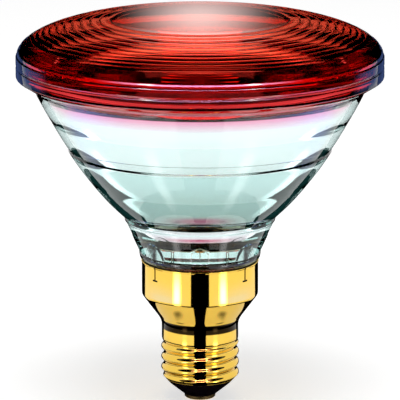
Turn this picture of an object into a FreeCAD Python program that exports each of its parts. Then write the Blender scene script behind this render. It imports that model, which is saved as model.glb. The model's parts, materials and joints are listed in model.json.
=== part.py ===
import FreeCAD
import Part
import math
import os

# Infrared heat lamp bulb: pressed glass bowl with a ringed red lens and a skirted screw cap.
# All sizes are in millimetres. The lamp stands cap down on the Z axis, contact tip at the origin.

V = FreeCAD.Vector

# Contact and insulator
CONTACT_RADIUS = 5.2
CONTACT_CHAMFER = 0.4
CONTACT_THICKNESS = 1.2
SOLDER_RADIUS = 1.3
SOLDER_HEIGHT = 2.0
INSULATOR_HEIGHT = 5.8
INSULATOR_TOP_INSIDE = 3.0
INSULATOR_WAIST_RADIUS = 9.6
INSULATOR_WAIST_DROP = 2.2
INSULATOR_BOW = 0.03

# Screw shell: round thread of the 27 mm lamp cap, seven turns to the inch
THREAD_CREST_RADIUS = 13.1
THREAD_DEPTH = 0.95
THREAD_PITCH = 25.4 / 7
THREAD_CREST_WIDTH = 0.9
THREAD_FOOT_WIDTH = 2.5
THREAD_BEVEL = 0.25
THREAD_LENGTH = 13.6
SHELL_WALL = 0.35
SHELL_CURL = 0.9
BARREL_SHY = 0.25
BARREL_LENGTH = 6.6

# Skirt of the cap
CONE_LENGTH = 9.0
CONE_SWEEP = 0.045
SKIRT_RADIUS = 19.5
SKIRT_LENGTH = 11.6
SKIRT_LIP = 0.2
SKIRT_LIP_HEIGHT = 0.6
CRIMP_COUNT = 4
CRIMP_ANGLE = 50.0
CRIMP_SLOT_WIDTH = 0.6
CRIMP_SLOT_DEPTH = 4.8
CRIMP_SPUR_WIDTH = 2.4

# Neck of the glass bowl
NECK_CLEARANCE = 0.25
NECK_INSERTION = 7.1
HEEL_CORNER = 1.5
NECK_WALL = 4.3
FLOOR_THICKNESS = 3.5
BEAD_PROUD = 1.3
BEAD_HEIGHT = 3.0
BEAD_EDGE = 0.3
NECK_CONE_HEIGHT = 10.4
NECK_RING_PROUD = 0.15
NECK_RING_HEIGHT = 1.6
NECK_RING_UNDERCUT = 0.5
LUG_COUNT = 8
LUG_RADIUS = 3.1
LUG_RISE = 3.0
LUG_SINK = 0.6
LUG_PROUD = 0.25

# Bowl of the reflector: a parabola of revolution pressed in rings
BOWL_START_RADIUS = 24.4
RIM_OVERHANG = 5.7
BOWL_HEIGHT = 44.1
BOWL_WALL = 3.3
NECK_SIDE_THINNING = 0.82
STEP_LEDGE = 0.65
STEP_HEIGHT = 22.8
LOW_RING_HEIGHT = 12.2
HIGH_RING_HEIGHT = 33.4
OUTER_BULGE = 0.08
BAND_BULGE = 0.25
MIRROR_THICKNESS = 0.3
MIRROR_EDGE_GAP = 0.4
MIRROR_DROP = 7.6

# Front lens
LENS_RADIUS = 61.0
LENS_WALL = 3.2
CROWN_HEIGHT = 13.25
CROWN_FULLNESS = 2.4
SEAM_LEDGE = 0.4
RIM_HEIGHT = 7.2
FLARE_HEIGHT = 3.7
FLARE_BOW = 0.03
RIM_GROOVE_DEPTH = 0.35
RIM_GROOVE_WIDTH = 1.0
SHOULDER_BOW = 0.12
RIB_COUNT = 11
FIRST_RIB_RADIUS = 29.5
LAST_RIB_RADIUS = 57.7
RIB_CROWDING = 0.4
SHOULDER_RIB_RADIUS = 59.8
RIB_HEIGHT = 0.18

# Filament mount
LEAD_SPACING = 18.0
LEAD_RADIUS = 0.5
LEAD_HOLE_RADIUS = 1.5
FERRULE_RADIUS = 3.2
FERRULE_WALL = 0.4
FERRULE_HEIGHT = 5.0
FOCUS_HEIGHT = 21.0
FILAMENT_BOW = 1.8
FILAMENT_COIL_RADIUS = 0.8
BRIDGE_HEIGHT = 7.0
BRIDGE_RADIUS = 1.5
HOOK_WIRE_RADIUS = 0.25
TUBE_RADIUS = 3.0
TUBE_WALL = 0.8
TUBE_LENGTH = 11.0
WIRE_RADIUS = 0.35
WIRE_DROP = 4.0
SHELL_WIRE_DROP = 2.0
SEAT_GAP = 0.02
CUT_OVERRUN = 1.0

# Radii that follow from the sizes above
THREAD_ROOT_RADIUS = THREAD_CREST_RADIUS - THREAD_DEPTH
CURL_RADIUS = THREAD_ROOT_RADIUS - SHELL_CURL
BARREL_RADIUS = THREAD_CREST_RADIUS - BARREL_SHY
NECK_RADIUS = SKIRT_RADIUS - SHELL_WALL - NECK_CLEARANCE
NECK_BORE_RADIUS = NECK_RADIUS - NECK_WALL
BEAD_RADIUS = NECK_RADIUS + BEAD_PROUD
NECK_RING_RADIUS = BOWL_START_RADIUS + STEP_LEDGE + NECK_RING_PROUD
BOWL_MOUTH_RADIUS = LENS_RADIUS - RIM_OVERHANG
SEAM_RADIUS = LENS_RADIUS - SEAM_LEDGE

# Heights that follow from the sizes above
SHELL_Z = CONTACT_THICKNESS + INSULATOR_HEIGHT
BARREL_Z = SHELL_Z + THREAD_LENGTH
CONE_Z = BARREL_Z + BARREL_LENGTH
SKIRT_Z = CONE_Z + CONE_LENGTH
RIM_Z = SKIRT_Z + SKIRT_LENGTH
HEEL_Z = RIM_Z - NECK_INSERTION
FLOOR_Z = HEEL_Z + FLOOR_THICKNESS
BEAD_Z = RIM_Z + BEAD_HEIGHT
NECK_RING_Z = BEAD_Z + NECK_CONE_HEIGHT
BOWL_Z = NECK_RING_Z + NECK_RING_HEIGHT
MIRROR_FOOT_Z = BOWL_Z - MIRROR_DROP
MOUTH_Z = BOWL_Z + BOWL_HEIGHT
RIM_BOTTOM_Z = MOUTH_Z + FLARE_HEIGHT
RIM_TOP_Z = RIM_BOTTOM_Z + RIM_HEIGHT
FILAMENT_Z = FLOOR_Z + FOCUS_HEIGHT
TANGENT_QUARTER = math.sin(math.radians(45))


def line(start, end):
    """Straight edge between two (radius, height) points."""
    return Part.makeLine(V(start[0], 0, start[1]), V(end[0], 0, end[1]))


def arc(start, middle, end):
    """Arc through three (radius, height) points."""
    points = [V(p[0], 0, p[1]) for p in (start, middle, end)]
    return Part.Arc(*points).toShape()


def bowed(start, end, bow):
    """Arc between two points that bows to its left by a share of their distance, or right below 0."""
    across, up = end[0] - start[0], end[1] - start[1]
    middle = ((start[0] + end[0]) / 2 - up * bow, (start[1] + end[1]) / 2 + across * bow)
    return arc(start, middle, end)


def lines(points):
    """Chain of straight edges through (radius, height) points."""
    return [line(a, b) for a, b in zip(points[:-1], points[1:])]


def turn(edges):
    """Solid of revolution about Z from the closed chain of edges."""
    face = Part.Face(Part.Wire(edges))
    return face.revolve(V(0, 0, 0), V(0, 0, 1), 360)


def drum(radius, bottom, top, x=0.0):
    """Upright round bar."""
    return Part.makeCylinder(radius, top - bottom, V(x, 0, bottom))


def around(shape, angle):
    """Copy of the shape turned about the lamp's axis."""
    copy = shape.copy()
    copy.rotate(V(0, 0, 0), V(0, 0, 1), angle)
    return copy


def wire_rod(points, radius):
    """Round wire along straight runs, with a ball at each bend."""
    path = [V(*p) for p in points]
    rod = None
    for a, b in zip(path[:-1], path[1:]):
        run = Part.makeCylinder(radius, (b - a).Length, a, b - a)
        rod = run if rod is None else rod.fuse(run)
    for corner in path[1:-1]:
        rod = rod.fuse(Part.makeSphere(radius, corner))
    return rod.removeSplitter()


# Screw cap

def thread_ridge(inset):
    """Helical ridge of the thread with a bevelled crest, drawn inwards by the inset on all its faces."""
    slope = (THREAD_FOOT_WIDTH - THREAD_CREST_WIDTH) / 2 / THREAD_DEPTH
    narrowing = inset * (math.hypot(1, slope) - slope)
    crest_half = THREAD_CREST_WIDTH / 2 - narrowing
    sunk = SHELL_WALL / 2
    start = SHELL_Z - THREAD_PITCH / 2
    crest = THREAD_CREST_RADIUS - inset
    foot = THREAD_ROOT_RADIUS - inset - sunk
    upper = [(foot, start + crest_half + slope * (THREAD_DEPTH + sunk)),
             (crest - THREAD_BEVEL, start + crest_half + slope * THREAD_BEVEL),
             (crest, start + crest_half / 2)]
    lower = [(radius, 2 * start - height) for radius, height in reversed(upper)]
    section = Part.Wire(lines(upper + lower + upper[:1]))
    rise = BARREL_Z - start + SHELL_WALL
    helix = Part.makeHelix(THREAD_PITCH, rise, THREAD_ROOT_RADIUS)
    helix.translate(V(0, 0, start))
    return Part.Wire(helix).makePipeShell([section], True, True)


def cap_side(inset):
    """One side of the cap's sheet from its bottom edge up to under the lip, drawn inwards by the inset."""
    drop = inset / 2
    shoulder = BARREL_RADIUS - THREAD_ROOT_RADIUS
    cone_low = (BARREL_RADIUS - inset, CONE_Z + drop)
    cone_mid = ((BARREL_RADIUS + SKIRT_RADIUS) / 2 - inset, (CONE_Z + SKIRT_Z) / 2 + drop)
    cone_high = (SKIRT_RADIUS - inset, SKIRT_Z + drop)
    straight = lines([(THREAD_ROOT_RADIUS - inset, SHELL_Z + SHELL_CURL),
                      (THREAD_ROOT_RADIUS - inset, BARREL_Z - shoulder + drop),
                      (BARREL_RADIUS - inset, BARREL_Z + drop), cone_low])
    cone = [bowed(cone_low, cone_mid, CONE_SWEEP), bowed(cone_mid, cone_high, -CONE_SWEEP)]
    return straight + cone + [line(cone_high, (SKIRT_RADIUS - inset, RIM_Z - SKIRT_LIP_HEIGHT))]


def crimp_cutter():
    """Upside-down T that the crimping tool leaves in the rim of the skirt."""
    inside = SKIRT_RADIUS - CUT_OVERRUN
    bottom = RIM_Z - CRIMP_SLOT_DEPTH
    slot = Part.makeBox(2 * CUT_OVERRUN, CRIMP_SLOT_WIDTH, CRIMP_SLOT_DEPTH + CUT_OVERRUN,
                        V(inside, -CRIMP_SLOT_WIDTH / 2, bottom))
    spur = Part.makeBox(2 * CUT_OVERRUN, CRIMP_SPUR_WIDTH, CRIMP_SLOT_WIDTH,
                        V(inside, -CRIMP_SPUR_WIDTH / 2, bottom))
    return slot.fuse(spur)


def make_cap_shell():
    """Drawn brass skirt, cone and screw shell in one sheet with a rolled thread."""
    lip = SKIRT_RADIUS + SKIRT_LIP
    under_lip = RIM_Z - SKIRT_LIP_HEIGHT
    rim = lines([(SKIRT_RADIUS, under_lip), (lip, RIM_Z - SKIRT_LIP_HEIGHT / 2), (lip, RIM_Z),
                 (lip - SHELL_WALL, RIM_Z), (SKIRT_RADIUS - SHELL_WALL, under_lip)])
    foot = lines([(THREAD_ROOT_RADIUS - SHELL_WALL, SHELL_Z + SHELL_CURL),
                  (CURL_RADIUS, SHELL_Z + SHELL_WALL), (CURL_RADIUS, SHELL_Z),
                  (CURL_RADIUS + SHELL_CURL / 2, SHELL_Z), (THREAD_ROOT_RADIUS, SHELL_Z + SHELL_CURL)])
    inside = [edge.reversed() for edge in reversed(cap_side(SHELL_WALL))]
    cap = turn(cap_side(0.0) + rim + inside + foot)
    above_foot = drum(SKIRT_RADIUS, SHELL_Z + SHELL_CURL, RIM_Z)
    cap = cap.fuse(thread_ridge(0.0).common(above_foot))
    cap = cap.cut(thread_ridge(SHELL_WALL).common(above_foot))
    for index in range(CRIMP_COUNT // 2):
        for side in (1, -1):
            angle = -90 + side * CRIMP_ANGLE + 180 * index
            cap = cap.cut(around(crimp_cutter(), angle))
    return cap


def make_insulator():
    """Black glass button moulded into the bottom of the screw shell."""
    inside = THREAD_ROOT_RADIUS - SHELL_WALL
    top = SHELL_Z + SHELL_CURL + INSULATOR_TOP_INSIDE
    waist = (INSULATOR_WAIST_RADIUS, SHELL_Z - INSULATOR_WAIST_DROP)
    seat = (CURL_RADIUS + SHELL_CURL / 2, SHELL_Z)
    return turn(lines([(SOLDER_RADIUS, CONTACT_THICKNESS), (CONTACT_RADIUS, CONTACT_THICKNESS), waist])
                + [bowed(waist, seat, -INSULATOR_BOW)]
                + lines([seat, (CURL_RADIUS, SHELL_Z), (CURL_RADIUS, SHELL_Z + SHELL_WALL),
                         (inside, SHELL_Z + SHELL_CURL), (inside, top), (SOLDER_RADIUS, top),
                         (SOLDER_RADIUS, CONTACT_THICKNESS)]))


def make_contact_plate():
    """Brass centre contact with a hole for the soldered wire."""
    return turn(lines([(SOLDER_RADIUS, 0), (CONTACT_RADIUS - CONTACT_CHAMFER, 0),
                       (CONTACT_RADIUS, CONTACT_CHAMFER), (CONTACT_RADIUS, CONTACT_THICKNESS),
                       (SOLDER_RADIUS, CONTACT_THICKNESS), (SOLDER_RADIUS, 0)]))


def make_solder_tip():
    """Solder that fills the hole of the centre contact, flush with its face."""
    return drum(SOLDER_RADIUS, 0, SOLDER_HEIGHT)


# Glass bowl

def bowl_radius(height, wall=0.0):
    """Parabola of the bowl at a height above its start, drawn inwards by the wall."""
    growth = (BOWL_MOUTH_RADIUS ** 2 - BOWL_START_RADIUS ** 2) / BOWL_HEIGHT
    radius = math.sqrt(BOWL_START_RADIUS ** 2 + growth * height)
    slope = growth / 2 / radius
    return radius - wall * math.hypot(1, slope) * wall_share(height)


def wall_share(height):
    """The wall is thinner towards the neck, where the pressing flows last."""
    return NECK_SIDE_THINNING + (1 - NECK_SIDE_THINNING) * height / BOWL_HEIGHT


def bowl_point(height, wall=0.0, shift=0.0):
    """(radius, height) point of the bowl, moved outwards by the shift."""
    return (bowl_radius(height, wall) + shift, BOWL_Z + height)


def bowl_ring(low, high, bulge, wall=0.0, shift=0.0):
    """One pressed ring of the bowl as an arc between two heights."""
    middle = (low + high) / 2
    return arc(bowl_point(low, wall, shift), bowl_point(middle, wall, shift + bulge),
               bowl_point(high, wall, shift))


def bowl_outside():
    """Outside of the bowl from its start up to the mouth, with a ledge above the second ring."""
    after_step = STEP_HEIGHT + STEP_LEDGE
    return [bowl_ring(0.0, LOW_RING_HEIGHT, OUTER_BULGE, shift=STEP_LEDGE),
            bowl_ring(LOW_RING_HEIGHT, STEP_HEIGHT, OUTER_BULGE, shift=STEP_LEDGE),
            line(bowl_point(STEP_HEIGHT, shift=STEP_LEDGE), bowl_point(after_step)),
            bowl_ring(after_step, HIGH_RING_HEIGHT, OUTER_BULGE),
            bowl_ring(HIGH_RING_HEIGHT, BOWL_HEIGHT, OUTER_BULGE)]


def bowl_inside(shift=0.0):
    """Reflecting inside of the bowl, from the foot in the neck up to the mouth."""
    heights = [0.0, LOW_RING_HEIGHT, STEP_HEIGHT, HIGH_RING_HEIGHT, BOWL_HEIGHT]
    foot = line((NECK_BORE_RADIUS + shift, MIRROR_FOOT_Z), bowl_point(0.0, BOWL_WALL, shift))
    return [foot] + [bowl_ring(low, high, BAND_BULGE, BOWL_WALL, shift)
                     for low, high in zip(heights[:-1], heights[1:])]


def neck_lug(angle):
    """Low domed glass lug that stands on the bead and follows the cone of the neck."""
    root = NECK_BORE_RADIUS + NECK_WALL / 2
    length = NECK_RING_RADIUS - root
    foot = BEAD_Z - LUG_SINK
    dome = Part.makeCylinder(LUG_RADIUS, length, V(root, 0, BEAD_Z + LUG_RISE), V(1, 0, 0))
    stem = Part.makeBox(length, LUG_RADIUS * 2, LUG_RISE + LUG_SINK, V(root, -LUG_RADIUS, foot))
    ring = turn(lines([(root, foot), (BEAD_RADIUS, foot), (BEAD_RADIUS - BEAD_EDGE + LUG_PROUD, BEAD_Z),
                       (NECK_RING_RADIUS - NECK_RING_UNDERCUT + LUG_PROUD, NECK_RING_Z),
                       (root, NECK_RING_Z), (root, foot)]))
    return around(dome.fuse(stem).common(ring), angle)


def neck_outside():
    """Outside of the glass from the middle of its heel up to the start of the bowl."""
    corner = HEEL_CORNER * (1 - TANGENT_QUARTER)
    bead_low = (NECK_RADIUS, RIM_Z + BEAD_EDGE)
    bead_high = (BEAD_RADIUS - BEAD_EDGE, BEAD_Z)
    bead_mid = (BEAD_RADIUS, (bead_low[1] + bead_high[1]) / 2)
    ring_edge = NECK_RING_HEIGHT / 3
    heel = [line((0, HEEL_Z), (NECK_RADIUS - HEEL_CORNER, HEEL_Z)),
            arc((NECK_RADIUS - HEEL_CORNER, HEEL_Z), (NECK_RADIUS - corner, HEEL_Z + corner),
                (NECK_RADIUS, HEEL_Z + HEEL_CORNER)),
            line((NECK_RADIUS, HEEL_Z + HEEL_CORNER), bead_low),
            arc(bead_low, bead_mid, bead_high)]
    return heel + lines([bead_high, (NECK_RING_RADIUS - NECK_RING_UNDERCUT, NECK_RING_Z),
                         (NECK_RING_RADIUS, NECK_RING_Z + ring_edge),
                         (NECK_RING_RADIUS, BOWL_Z - ring_edge), bowl_point(0.0, shift=STEP_LEDGE)])


def make_reflector_glass():
    """Pressed glass bowl with neck, bead, lugs and a floor pierced for the two leads."""
    mouth = line(bowl_point(BOWL_HEIGHT), bowl_point(BOWL_HEIGHT, BOWL_WALL))
    inside = [edge.reversed() for edge in reversed(bowl_inside())]
    bore = lines([(NECK_BORE_RADIUS, MIRROR_FOOT_Z), (NECK_BORE_RADIUS, FLOOR_Z), (0, FLOOR_Z), (0, HEEL_Z)])
    glass = turn(neck_outside() + bowl_outside() + [mouth] + inside + bore)
    for index in range(LUG_COUNT):
        glass = glass.fuse(neck_lug(-90 + 360 / LUG_COUNT * index))
    for radius, x in ((LEAD_HOLE_RADIUS, LEAD_SPACING / 2), (LEAD_HOLE_RADIUS, -LEAD_SPACING / 2),
                      (TUBE_RADIUS - TUBE_WALL, 0.0)):
        glass = glass.cut(drum(radius, HEEL_Z - CUT_OVERRUN, FLOOR_Z + CUT_OVERRUN, x))
    return glass


def make_mirror_coating():
    """Bright metal layer on the inside of the bowl, from its foot in the neck up to the lens joint."""
    front = [edge.reversed() for edge in reversed(bowl_inside(-MIRROR_THICKNESS))]
    top = line(bowl_point(BOWL_HEIGHT, BOWL_WALL), bowl_point(BOWL_HEIGHT, BOWL_WALL, -MIRROR_THICKNESS))
    bottom = line((NECK_BORE_RADIUS - MIRROR_THICKNESS, MIRROR_FOOT_Z), (NECK_BORE_RADIUS, MIRROR_FOOT_Z))
    layer = turn(bowl_inside() + [top] + front + [bottom])
    return layer.cut(drum(BOWL_MOUTH_RADIUS, MOUTH_Z - MIRROR_EDGE_GAP, MOUTH_Z + CUT_OVERRUN))


# Lens

def crown_point(radius, drop=0.0):
    """Point of the crown at a distance from the axis, or a little below it."""
    rise = math.sqrt(1 - (radius / SEAM_RADIUS) ** CROWN_FULLNESS)
    return (radius, RIM_TOP_Z + CROWN_HEIGHT * rise - drop)


def shallow_cap(edge, top):
    """Arc from an edge point in to the axis, with its centre on the axis."""
    sag = top - edge[1]
    radius = (edge[0] ** 2 + sag ** 2) / 2 / sag
    half = edge[0] / 2
    return arc(edge, (half, top - radius + math.sqrt(radius ** 2 - half ** 2)), (0, top))


def rib_radius(index):
    """Radius of the valley before a rib: the ribs crowd together towards the edge."""
    share = index / RIB_COUNT
    span = LAST_RIB_RADIUS - FIRST_RIB_RADIUS
    return FIRST_RIB_RADIUS + span * share * (1 + RIB_CROWDING * (1 - share))


def rib(inner, outer):
    """One rounded rib of the crown between two valleys."""
    crest = crown_point((inner + outer) / 2)
    return arc(crown_point(inner, RIB_HEIGHT), crest, crown_point(outer, RIB_HEIGHT))


def crown_outside():
    """Crown from the axis over its plain centre, ribs and shoulder down to the seam."""
    centre = shallow_cap(crown_point(FIRST_RIB_RADIUS, RIB_HEIGHT), crown_point(0)[1] - RIB_HEIGHT)
    ribs = [rib(rib_radius(index), rib_radius(index + 1)) for index in range(RIB_COUNT)]
    ribs.append(rib(LAST_RIB_RADIUS, SHOULDER_RIB_RADIUS))
    shoulder = arc(crown_point(SHOULDER_RIB_RADIUS, RIB_HEIGHT),
                   crown_point((SHOULDER_RIB_RADIUS + SEAM_RADIUS) / 2), crown_point(SEAM_RADIUS))
    return [centre.reversed()] + ribs + [shoulder]


def make_front_lens():
    """Red pressed lens with its ringed crown, rounded shoulder, seam ledge and deep rim."""
    groove = RIM_BOTTOM_Z + RIM_HEIGHT / 2
    half = RIM_GROOVE_WIDTH / 2
    rim_top = (LENS_RADIUS, RIM_TOP_Z - SEAM_LEDGE)
    rim_bottom = (LENS_RADIUS, RIM_BOTTOM_Z)
    bore = LENS_RADIUS - LENS_WALL
    bore_low = (bore, RIM_BOTTOM_Z + LENS_WALL / 2)
    bore_high = (bore, RIM_TOP_Z - LENS_WALL / 2)
    inner_edge = crown_point(LAST_RIB_RADIUS - LENS_WALL, LENS_WALL)
    mouth_out = bowl_point(BOWL_HEIGHT)
    mouth_in = bowl_point(BOWL_HEIGHT, BOWL_WALL)
    inner_top = crown_point(0)[1] - LENS_WALL
    rim = lines([(SEAM_RADIUS, RIM_TOP_Z), rim_top, (LENS_RADIUS, groove + half),
                 (LENS_RADIUS - RIM_GROOVE_DEPTH, groove), (LENS_RADIUS, groove - half), rim_bottom])
    inside = [line(mouth_in, bore_low), line(bore_low, bore_high),
              bowed(bore_high, inner_edge, -SHOULDER_BOW), shallow_cap(inner_edge, inner_top)]
    return turn(crown_outside() + rim + [bowed(rim_bottom, mouth_out, FLARE_BOW), line(mouth_out, mouth_in)]
                + inside + [line((0, inner_top), (0, crown_point(0)[1] - RIB_HEIGHT))])


# Filament mount

def make_ferrule(side):
    """Metal thimble sealed under the floor, closed at the bottom."""
    x = side * LEAD_SPACING / 2
    cup = drum(FERRULE_RADIUS, HEEL_Z - FERRULE_HEIGHT, HEEL_Z, x)
    return cup.cut(drum(FERRULE_RADIUS - FERRULE_WALL, HEEL_Z - FERRULE_HEIGHT + FERRULE_WALL, HEEL_Z, x))


def make_lead_post(side):
    """Stiff lead from the bottom of its ferrule up to the end of the filament."""
    x = side * LEAD_SPACING / 2
    bottom = HEEL_Z - FERRULE_HEIGHT + FERRULE_WALL
    return drum(LEAD_RADIUS, bottom, FILAMENT_Z - FILAMENT_COIL_RADIUS - SEAT_GAP, x)


def make_filament():
    """Bowed tungsten coil between the two leads, drawn as its outer envelope."""
    reach = LEAD_SPACING / 2 + LEAD_RADIUS
    bow = Part.Arc(V(-reach, 0, FILAMENT_Z), V(0, 0, FILAMENT_Z + FILAMENT_BOW), V(reach, 0, FILAMENT_Z))
    path = Part.Wire(bow.toShape())
    tangent = bow.toShape().tangentAt(bow.FirstParameter)
    ring = Part.Wire(Part.Circle(V(-reach, 0, FILAMENT_Z), tangent, FILAMENT_COIL_RADIUS).toShape())
    return path.makePipeShell([ring], True, True)


def make_glass_bridge():
    """Glass rod that holds the two leads apart, with the hook wire melted in."""
    height = FLOOR_Z + BRIDGE_HEIGHT
    reach = LEAD_SPACING / 2 + BRIDGE_RADIUS * 2
    past = BRIDGE_RADIUS + CUT_OVERRUN
    rod = Part.makeCylinder(BRIDGE_RADIUS, reach * 2, V(-reach, 0, height), V(1, 0, 0))
    for side in (1, -1):
        rod = rod.cut(drum(LEAD_RADIUS + SEAT_GAP, height - past, height + past, side * LEAD_SPACING / 2))
    return rod.cut(drum(HOOK_WIRE_RADIUS, height, height + past))


def make_filament_hook():
    """Thin wire that rises from the bridge and carries the middle of the filament."""
    top = FILAMENT_Z + FILAMENT_BOW - FILAMENT_COIL_RADIUS - SEAT_GAP
    return drum(HOOK_WIRE_RADIUS, FLOOR_Z + BRIDGE_HEIGHT, top)


def make_exhaust_tube():
    """Stub of the pump tube under the floor, melted shut at its end."""
    bore = TUBE_RADIUS - TUBE_WALL
    tip = HEEL_Z - TUBE_LENGTH
    round_z = tip + TUBE_RADIUS
    outer_mid = (TUBE_RADIUS * TANGENT_QUARTER, round_z - TUBE_RADIUS * TANGENT_QUARTER)
    inner_mid = (bore * TANGENT_QUARTER, round_z - bore * TANGENT_QUARTER)
    return turn([arc((0, tip), outer_mid, (TUBE_RADIUS, round_z)),
                 line((TUBE_RADIUS, round_z), (TUBE_RADIUS, HEEL_Z)),
                 line((TUBE_RADIUS, HEEL_Z), (bore, HEEL_Z)),
                 line((bore, HEEL_Z), (bore, round_z)),
                 arc((bore, round_z), inner_mid, (0, round_z - bore)),
                 line((0, round_z - bore), (0, tip))])


def make_centre_wire():
    """Wire from the left ferrule down through the insulator into the solder."""
    x = -LEAD_SPACING / 2
    ferrule_z = HEEL_Z - FERRULE_HEIGHT
    return wire_rod([(x, 0, ferrule_z), (x, 0, ferrule_z - WIRE_DROP),
                     (-TUBE_RADIUS, 0, CONE_Z - WIRE_DROP), (0, 0, BARREL_Z - WIRE_DROP),
                     (0, 0, SOLDER_HEIGHT)], WIRE_RADIUS)


def make_shell_wire():
    """Wire from the right ferrule out to the wall of the skirt."""
    x = LEAD_SPACING / 2
    ferrule_z = HEEL_Z - FERRULE_HEIGHT
    wall = SKIRT_RADIUS - SHELL_WALL - WIRE_RADIUS - SEAT_GAP
    low = ferrule_z - SHELL_WIRE_DROP
    return wire_rod([(x, 0, ferrule_z), (x, 0, low), (wall, 0, SKIRT_Z + SHELL_WIRE_DROP),
                     (wall, 0, HEEL_Z)], WIRE_RADIUS)


def build():
    """Every node of the lamp by name."""
    return {"cap_shell": make_cap_shell(),
            "cap_insulator": make_insulator(),
            "contact_plate": make_contact_plate(),
            "solder_tip": make_solder_tip(),
            "reflector_glass": make_reflector_glass(),
            "mirror_coating": make_mirror_coating(),
            "front_lens": make_front_lens(),
            "filament": make_filament(),
            "lead_post_left": make_lead_post(-1),
            "lead_post_right": make_lead_post(1),
            "ferrule_left": make_ferrule(-1),
            "ferrule_right": make_ferrule(1),
            "glass_bridge": make_glass_bridge(),
            "filament_hook": make_filament_hook(),
            "exhaust_tube": make_exhaust_tube(),
            "centre_wire": make_centre_wire(),
            "shell_wire": make_shell_wire()}


os.makedirs("parts", exist_ok=True)
for name, shape in build().items():
    shape.exportStep("parts/" + name + ".step")
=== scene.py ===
import json
import math

import bmesh
import bpy
import numpy as np
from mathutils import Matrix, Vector


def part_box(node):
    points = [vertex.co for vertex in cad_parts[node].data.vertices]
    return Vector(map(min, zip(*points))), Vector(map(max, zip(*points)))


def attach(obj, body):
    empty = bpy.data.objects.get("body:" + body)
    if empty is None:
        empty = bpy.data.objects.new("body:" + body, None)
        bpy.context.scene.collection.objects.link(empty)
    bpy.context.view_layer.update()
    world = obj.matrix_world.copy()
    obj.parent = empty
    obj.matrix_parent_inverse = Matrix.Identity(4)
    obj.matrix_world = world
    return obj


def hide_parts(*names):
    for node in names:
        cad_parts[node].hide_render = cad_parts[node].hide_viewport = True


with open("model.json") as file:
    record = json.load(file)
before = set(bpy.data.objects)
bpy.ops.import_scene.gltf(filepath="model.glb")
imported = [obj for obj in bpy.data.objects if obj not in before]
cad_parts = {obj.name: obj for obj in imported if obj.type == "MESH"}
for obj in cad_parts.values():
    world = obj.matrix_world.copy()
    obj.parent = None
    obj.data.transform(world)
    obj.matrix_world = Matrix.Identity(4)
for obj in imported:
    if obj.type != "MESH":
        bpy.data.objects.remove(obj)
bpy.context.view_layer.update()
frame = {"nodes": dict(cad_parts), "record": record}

# Lengths below are in millimetres, and a mesh is scaled to metres when it is made.
MM = 0.001
SEGMENTS = 288
SHARP_ANGLE = 35.0


def span(node):
    """Lowest and highest corner of a node, in millimetres."""
    low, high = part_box(node)
    return low / MM, high / MM


# Cap
SHELL_WALL = 0.35
SKIRT_LIP = 0.2
SKIRT_LIP_HEIGHT = 0.6
THREAD_CREST_RADIUS = 13.1
THREAD_DEPTH = 0.95
THREAD_PITCH = 25.4 / 7
THREAD_LENGTH = 13.6
THREAD_SHARPNESS = 1.15
THREAD_START_LIFT = 0.36
THREAD_END_GAP = 0.2
THREAD_RUN_OUT = 1.2
THREAD_SHEET = 2.2
BARREL_SHY = 0.25
BARREL_LENGTH = 6.6
BARREL_STEP_DROP = 1.6
BARREL_STEP_RISE = 1.0
BARREL_STEP_EASE = 1.5
BARREL_STEP_ROUND = 0.7
CONE_LENGTH = 9.0
CONE_FOOT_FILLET = 3.0
CONE_FOOT_REACH = 4.0
CONE_TOP_FILLET = 0.6
CONE_TOP_REACH = 3.0
SKIRT_START_LIFT = 4.0
SHELL_CURL = 0.9
EDGE_ROUND = 0.25
LIP_EDGE = 0.1
CRIMP_ANGLES = (-130.0, -50.0, 50.0, 130.0)
CRIMP_SLOT_WIDTH = 0.6
CRIMP_SLOT_DEPTH = 4.8
CRIMP_SPUR_WIDTH = 2.4
CRIMP_CUT_THROUGH = 6 * SHELL_WALL

# Glass
NECK_CLEARANCE = 0.25
NECK_WALL = 4.3
FLOOR_THICKNESS = 3.5
FLOOR_ROUND = 1.2
HEEL_CORNER = 1.5
BEAD_PROUD = 1.3
BEAD_HEIGHT = 3.0
BEAD_EDGE = 0.3
NECK_RING_PROUD = 0.15
NECK_RING_HEIGHT = 1.6
NECK_RING_UNDERCUT = 0.5
NECK_RING_ROUND = 0.3
LUG_COUNT = 8
LUG_RADIUS = 3.1
LUG_RISE = 3.0
LUG_SINK = 0.6
LUG_PROUD = 0.25
LUG_EDGE = 0.5
BOWL_START_RADIUS = 24.4
BOWL_WALL = 3.3
NECK_SIDE_THINNING = 0.82
STEP_LEDGE = 0.65
LOW_RING_HEIGHT = 12.2
STEP_HEIGHT = 22.8
HIGH_RING_HEIGHT = 33.4
OUTER_BULGE = 0.08
BAND_BULGE = 0.25
MIRROR_THICKNESS = 0.3
MIRROR_DROP = 7.6
FILM_GAP = 0.03
FILM_FOOT_BOW = 1.3

# Lens
LENS_WALL = 3.2
LENS_BORE_ROUND = 2.0
CROWN_FULLNESS = 2.4
SEAM_LEDGE = 0.4
RIM_HEIGHT = 7.2
FLARE_HEIGHT = 3.7
RIM_GROOVE_DEPTH = 0.35
RIM_GROOVE_WIDTH = 1.0
RIB_COUNT = 11
FIRST_RIB_RADIUS = 29.5
LAST_RIB_RADIUS = 57.7
RIB_CROWDING = 0.4
SHOULDER_RIB_RADIUS = 59.8
RIB_HEIGHT = 0.18

# Radii and heights that the frame gives
lens_low, lens_high = span("front_lens")
glass_low, glass_high = span("reflector_glass")
mirror_low, mirror_high = span("mirror_coating")
cap_low, cap_high = span("cap_shell")

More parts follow.
